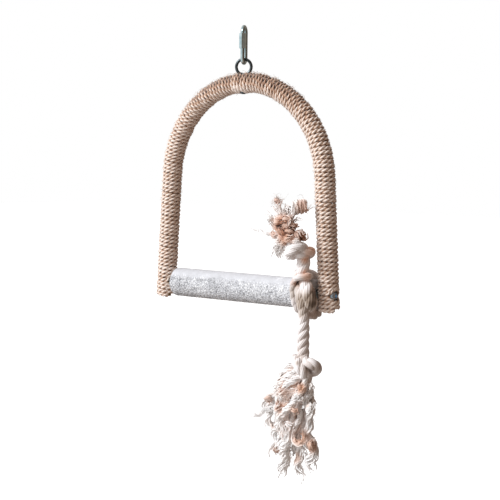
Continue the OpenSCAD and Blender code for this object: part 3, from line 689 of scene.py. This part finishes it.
# --- Sisal wrapping ---
# One length of three-ply sisal twine is wound tightly round the cane from foot to foot, about 137
# turns, and glued. The turns part round the bolt and the screws, and fine fibres stray from it.
TWINE_D = 4.9  # diameter, mm
TURN_PITCH = 4.12  # less than the diameter, because the turns press into each other
CANE_R = 5.5
TURN_POINTS = 50  # points of the line to a turn
PLY_LAY = 14.0  # length of one turn of a ply
CROWN_R = 100.0  # radius of the bend
SPLAY = math.radians(3.5)  # lean of each leg
ARCH_X = 3.5  # the arch's middle, right of the bolt
CROWN_Z = -153.04  # middle of the bend
LEG_HEIGHT = 126.0
SCREW_RISE = 17.0  # the perch's screws stand this high above the feet
FORMED_TURNS, FORMED_PITCH = 24, 4.15  # they fill the part of each leg above its foot
FOOT_Z = CROWN_Z - LEG_HEIGHT
LEG = (LEG_HEIGHT + CROWN_R * math.sin(SPLAY)) / math.cos(SPLAY)
FOOT_LENGTH = LEG - FORMED_TURNS * FORMED_PITCH
BEND = CROWN_R * (math.pi - 2 * SPLAY)
WRAP_START, WRAP_END = TWINE_D / 2, 2 * LEG + BEND - TWINE_D / 2
wind_radius = CANE_R + TWINE_D / 2 - 0.1  # the twine is pressed a little into the cane


def arch_point(s):
    """Centre line of the cane at a distance from the left foot, and its outward direction."""
    s = np.asarray(s, float)
    leg_dir = np.array([math.sin(SPLAY), 0, math.cos(SPLAY)])
    foot = np.array([-(CROWN_R * math.cos(SPLAY) + LEG * math.sin(SPLAY)), 0, FOOT_Z])
    left = foot + s[:, None] * leg_dir
    angle = math.pi - SPLAY - (s - LEG) / CROWN_R
    crown = np.stack([CROWN_R * np.cos(angle), 0 * s, CROWN_Z + CROWN_R * np.sin(angle)], 1)
    right = (foot + (2 * LEG + BEND - s)[:, None] * leg_dir) * (-1, 1, 1)
    point = np.where((s < LEG)[:, None], left, np.where((s > LEG + BEND)[:, None], right, crown))
    turn = np.clip(angle, SPLAY, math.pi - SPLAY)
    out = np.stack([np.cos(turn), 0 * s, np.sin(turn)], 1)
    return point + (ARCH_X, 0, 0), out


# Hardware that the turns part round: place along the arch, side (1 outside, -1 inside), radius
screw_s = SCREW_RISE / math.cos(SPLAY)
crown_s = LEG + BEND / 2 - CROWN_R * math.asin(ARCH_X / CROWN_R)
parted = [(crown_s, 1, 1.2), (crown_s, -1, 2.0)]
for place in (screw_s, 2 * LEG + BEND - screw_s):
    parted += [(place, 1, 4.8), (place, -1, 3.6)]


def twine_turns(first, last):
    """Centre line of the wound twine between two places along the arch."""
    turns = np.arange(first / TURN_PITCH, last / TURN_PITCH, 1 / TURN_POINTS)
    s = turns * TURN_PITCH
    # no two turns lie quite alike
    s = s + 0.22 * np.sin(turns * 0.9) + 0.16 * np.sin(turns * 2.3 + 1)
    swing = 2 * math.pi * turns
    radius = wind_radius + 0.16 * np.sin(turns * 1.7 + 2) + 0.1 * np.sin(turns * 5.1)
    # full and fuzzy on the legs, pulled flatter over the outside of the bend
    bend_share = np.exp(-((s - LEG - BEND / 2) / 85) ** 4)
    radius = radius + 0.45 - 1.2 * bend_share * np.clip(0.6 + 0.7 * np.cos(swing), 0, 1)
    # inside the crown the turns ride up against the lock nut
    radius = radius + 1.6 * np.exp(-((s - crown_s) / 7) ** 2) * np.clip(-np.cos(swing), 0, 1)
    across = radius * np.sin(swing)
    for place, side, size in parted:
        near = np.clip((side * np.cos(swing) - 0.4) / 0.3, 0, 1)
        gap = s - place
        need = np.sqrt(np.clip((size + TWINE_D * 0.42) ** 2 - across ** 2, 0, None))
        pushed = np.sign(gap) * np.sqrt(gap ** 2 + need ** 2 * np.exp(-(gap / 6) ** 2))
        s = s + near * (pushed - gap)
    s = np.clip(s, WRAP_START, WRAP_END)
    centre, out = arch_point(s)
    return centre + (radius * np.cos(swing))[:, None] * out + across[:, None] * (0, 1, 0)


PLY_POINTS = 21
ply_profile = bpy.data.curves.new("ply_profile", "CURVE")
ply_profile.dimensions = "2D"
ply_ring = ply_profile.splines.new("POLY")
ply_ring.points.add(PLY_POINTS - 1)
ply_ring.use_cyclic_u = True
for k, point in enumerate(ply_ring.points):
    # three plies against each other, seen along the twine
    around = 2 * math.pi * k / PLY_POINTS
    lobe = (around + math.pi / 3) % (2 * math.pi / 3) - math.pi / 3
    reach = 0.5 * TWINE_D / 1000 * (0.5 * math.cos(lobe)
                                    + math.sqrt(0.5 ** 2 - (0.5 * math.sin(lobe)) ** 2))
    point.co = (reach * math.cos(around), reach * math.sin(around), 0, 1)
ply_form = bpy.data.objects.new("ply_profile", ply_profile)
bpy.context.collection.objects.link(ply_form)

# Sisal: hard, glossy leaf fibre, spun into plies; straw-coloured, with painted highlights, pale
# # and pinkish, on the crowns of the plies, and painted shade, dark and brown, where the plies and
# the turns meet
sisal, sisal_shader = new_material("spun_sisal_twine")
sisal_uv = add_node(sisal, "UVMap").outputs["UV"]
sisal_place = add_node(sisal, "TexCoord").outputs["Object"]
sisal_lift = add_node(sisal, "Attribute", {"attribute_name": "lift"}).outputs["Fac"]
fibre_map = add_node(sisal, "Mapping", Vector=sisal_uv, Scale=(500.0, 30.0, 1.0))
fibre = add_node(sisal, "TexNoise", Vector=fibre_map.outputs[0], Scale=1.0, Detail=4.0)
patch = add_node(sisal, "TexNoise", Vector=sisal_place, Scale=120.0, Detail=3.0)  # 8 mm patches
fleck = add_node(sisal, "TexNoise", Vector=sisal_place, Scale=900.0, Detail=3.0)  # 1 mm flecks
# the lift paints shade into the grooves and highlights onto the crowns; patches, fibres and flecks
# vary it
tone = maths(sisal, "MULTIPLY_ADD", patch.outputs["Fac"], 0.35, sisal_lift)
tone = maths(sisal, "MULTIPLY_ADD", fibre.outputs["Fac"], 0.5, tone)
tone = maths(sisal, "MULTIPLY_ADD", fleck.outputs["Fac"], 0.3, tone)
tone = maths(sisal, "SUBTRACT", tone, 0.55)
join(sisal, colour_steps(sisal, tone, [
    (0.0, "#211003"), (0.22, "#5a3113"), (0.45, "#9b663b"), (0.7, "#cda789"), (0.95, "#f5e3d6")]),
    sisal_shader, "Base Color")
sisal_height = maths(sisal, "ADD", fibre.outputs["Fac"], fleck.outputs["Fac"])
sisal_bump = add_node(sisal, "Bump", Height=sisal_height, Strength=0.6, Distance=0.0005)
join(sisal, sisal_bump.outputs["Normal"], sisal_shader, "Normal")
sisal_shader.inputs["Roughness"].default_value = 0.55
sisal_shader.inputs["Specular IOR Level"].default_value = 0.9
sisal_shader.inputs["Sheen Weight"].default_value = 1.0
sisal_shader.inputs["Sheen Roughness"].default_value = 0.5

sections = {
    "left_foot": (WRAP_START, FOOT_LENGTH, "left_foot_wrap"),
    "left_leg": (FOOT_LENGTH, LEG, "left_leg_winding"),
    "crown": (LEG, LEG + BEND, "crown_wrap"),
    "right_leg": (LEG + BEND, 2 * LEG + BEND - FOOT_LENGTH, "right_leg_winding"),
    "right_foot": (2 * LEG + BEND - FOOT_LENGTH, WRAP_END, "right_foot_wrap")}
for section, (first, last, node) in sections.items():
    line = twine_turns(first, last)
    lengths = np.r_[0, np.cumsum(np.linalg.norm(np.diff(line, axis=0), axis=1))]
    mesh = tube_mesh(section + "_twine", [line], [1.0], profile=ply_form,
                     tilts=[-2 * math.pi * lengths / PLY_LAY])
    # how far each point lies from the cane's centre line: painted shade deep between the turns,
    #     # painted highlight on the outermost crowns
    co = points_of(mesh)
    side = np.sign(co[:, 0] - ARCH_X)
    leg_axis = side * (CROWN_R * math.cos(SPLAY) + (CROWN_Z + CROWN_R * math.sin(SPLAY) - co[:, 2])
                       * math.tan(SPLAY)) + ARCH_X
    off_leg = np.hypot((co[:, 0] - leg_axis) * math.cos(SPLAY), co[:, 1])
    ring = np.hypot(co[:, 0] - ARCH_X, co[:, 2] - CROWN_Z) - CROWN_R
    off_crown = np.hypot(ring, co[:, 1])
    off = np.where(co[:, 2] > CROWN_Z + CROWN_R * math.sin(SPLAY), off_crown, off_leg)
    mark(mesh, "lift", np.clip((off - CANE_R - 2.4) / 2.6, 0, 1))
    twine = add_piece(section + "_twine", mesh, sisal)
    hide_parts(node)
    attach(twine, "swing")

# Stray fibres stand off the wrap all over
STRAY_FIBRES = 3400
HAIR_R, HAIR_POINTS = 0.13, 5
hairs, hair_sizes = [], []
for _ in range(STRAY_FIBRES):
    s = rng.uniform(WRAP_START + 1, WRAP_END - 1)
    centre, out = arch_point([s])
    around = rng.uniform(0, 2 * math.pi)
    normal = math.cos(around) * out[0] + math.sin(around) * np.array([0, 1, 0])
    along = np.cross(normal, rng.normal(size=3))
    along /= np.linalg.norm(along)
    root = centre[0] + normal * (CANE_R + 3.8)
    long = rng.uniform(2, 6)
    steps = np.linspace(0, 1, HAIR_POINTS)[:, None]
    rise = rng.uniform(0.1, 0.6)
    hairs.append(root + long * (steps * along + rise * normal * steps * (1.6 - steps))
                 + rng.normal(size=3) * 0.25 * steps ** 2)
    hair_sizes.append(HAIR_R * np.linspace(1, 0.5, HAIR_POINTS))
hair_mesh = tube_mesh("sisal_fibres", hairs, hair_sizes, sides=4)
mark(hair_mesh, "lift", np.full(len(hair_mesh.vertices), 0.7))
sisal_fibres = add_piece("sisal_fibres", hair_mesh, sisal)
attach(sisal_fibres, "swing")
bpy.data.objects.remove(ply_form)

# --- Mineral perch ---
# A round bar cast from cement and mineral grit, so that it files a bird's claws: pitted and rough
# all round, with a smoother strip on top, and rounded ends.
PERCH_R = 15.0
PERCH_Z = FOOT_Z + SCREW_RISE
EDGE = 1.5  # rounding of the ends
LONG_STEPS, ROUND_STEPS = 230, 170  # points along the bar and round it, fine enough for the pits
SLEEVE_HOLE_R = 5.9  # the ends are open round the sleeves
perch_low, perch_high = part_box("perch")
perch_from, perch_to = perch_low[0] * 1000, perch_high[0] * 1000
corner = np.radians([0, 30, 60, 90])
outline = [(perch_from, SLEEVE_HOLE_R)]
outline += [(perch_from + EDGE - EDGE * math.cos(a), PERCH_R - EDGE + EDGE * math.sin(a))
            for a in corner]
stations = np.linspace(perch_from + EDGE, perch_to - EDGE, LONG_STEPS)
outline += [(x, PERCH_R) for x in stations[1:-1]]
outline += [(perch_to - EDGE + EDGE * math.sin(a), PERCH_R - EDGE + EDGE * math.cos(a))
            for a in corner]
outline += [(perch_to, SLEEVE_HOLE_R)]
perch_bm = bmesh.new()
rims = [perch_bm.verts.new((x, 0, r)) for x, r in outline]
edges = [perch_bm.edges.new(pair) for pair in zip(rims, rims[1:])]
bmesh.ops.spin(perch_bm, geom=rims + edges, cent=(0, 0, 0), axis=(1, 0, 0), angle=2 * math.pi,
               steps=ROUND_STEPS, use_merge=True)
bmesh.ops.recalc_face_normals(perch_bm, faces=perch_bm.faces)
for vert in perch_bm.verts:
    x, y, z = vert.co
    r = math.hypot(y, z)
    if r < SLEEVE_HOLE_R + 0.5:
        continue
    place = Vector((x, y, z))
    # pits a few millimetres wide, and hardly any along the top
    smooth = min(1.0, max(0.0, (z / r - 0.55) / 0.25))
    rough = 1 - 0.8 * smooth
    pit = noise.noise(place * 0.35) * 0.35 + noise.noise(place * 0.8 + Vector((9, 0, 0)))
    drop = min(-0.30 + 0.55 * pit, -0.02)
    vert.co += Vector((0, y, z)) / r * (rough * drop - 0.06)
bmesh.ops.translate(perch_bm, verts=perch_bm.verts, vec=(0, 0, PERCH_Z))
bmesh.ops.scale(perch_bm, verts=perch_bm.verts, vec=(0.001, 0.001, 0.001))
perch_mesh = bpy.data.meshes.new("cast_perch")
perch_bm.to_mesh(perch_mesh)
perch_bm.free()
perch_mesh.polygons.foreach_set("use_smooth", [True] * len(perch_mesh.polygons))
cast, cast_shader = new_material("cast_mineral_cement")
cast_place = add_node(cast, "TexCoord").outputs["Object"]
# grit of 1 to 2 mm, the coarsest grains of the mix, so that it shows
grit = add_node(cast, "TexNoise", Vector=cast_place, Scale=620.0, Detail=3.0, Roughness=0.7)
blot = add_node(cast, "TexNoise", Vector=cast_place, Scale=120.0, Detail=2.0)  # 8 mm blotches
height_part = add_node(cast, "SeparateXYZ", Vector=cast_place)
# the trowelled strip along the top is smooth and even
top_share = add_node(cast, "MapRange", Value=height_part.outputs["Z"],
                     From_Min=0.001 * PERCH_Z + 0.006, From_Max=0.001 * PERCH_Z + 0.0105,
                     To_Min=1.0, To_Max=0.12)
grit_depth = maths(cast, "MULTIPLY", maths(cast, "SUBTRACT", grit.outputs["Fac"], 0.5),
                   top_share.outputs[0])
grit_tone = maths(cast, "ADD", grit_depth,
                  maths(cast, "MULTIPLY_ADD", blot.outputs["Fac"], 0.25, 0.425))
join(cast, colour_steps(cast, grit_tone, [
    (0.37, "#606063"), (0.46, "#b4b4b7"), (0.52, "#cacacd"), (0.58, "#d0d0d4"), (0.66, "#ffffff")]),
    cast_shader, "Base Color")
cast_bump = add_node(cast, "Bump", Height=grit_depth, Strength=0.9, Distance=0.0022)
join(cast, cast_bump.outputs["Normal"], cast_shader, "Normal")
cast_shader.inputs["Roughness"].default_value = 0.92
cast_shader.inputs["Specular IOR Level"].default_value = 0.3
cast_perch = add_piece("cast_perch", perch_mesh, cast)
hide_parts("perch")
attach(cast_perch, "swing")

# --- Perch fixings ---
# A steel rod joins two hexagon sleeves cast into the perch's ends, and a low domed screw with a
# hexagon socket goes through each leg into its sleeve. The screws are bright blue-passivated zinc.
for node in ("perch_rod", "left_perch_sleeve", "right_perch_sleeve"):
    finish_node(node, zinc_steel)
blue_zinc = plated_steel("blue_passivated_zinc", "#a6c2dc", "#d2e6f6", 0.22)
for node in ("left_perch_screw", "right_perch_screw"):
    finish_node(node, blue_zinc)
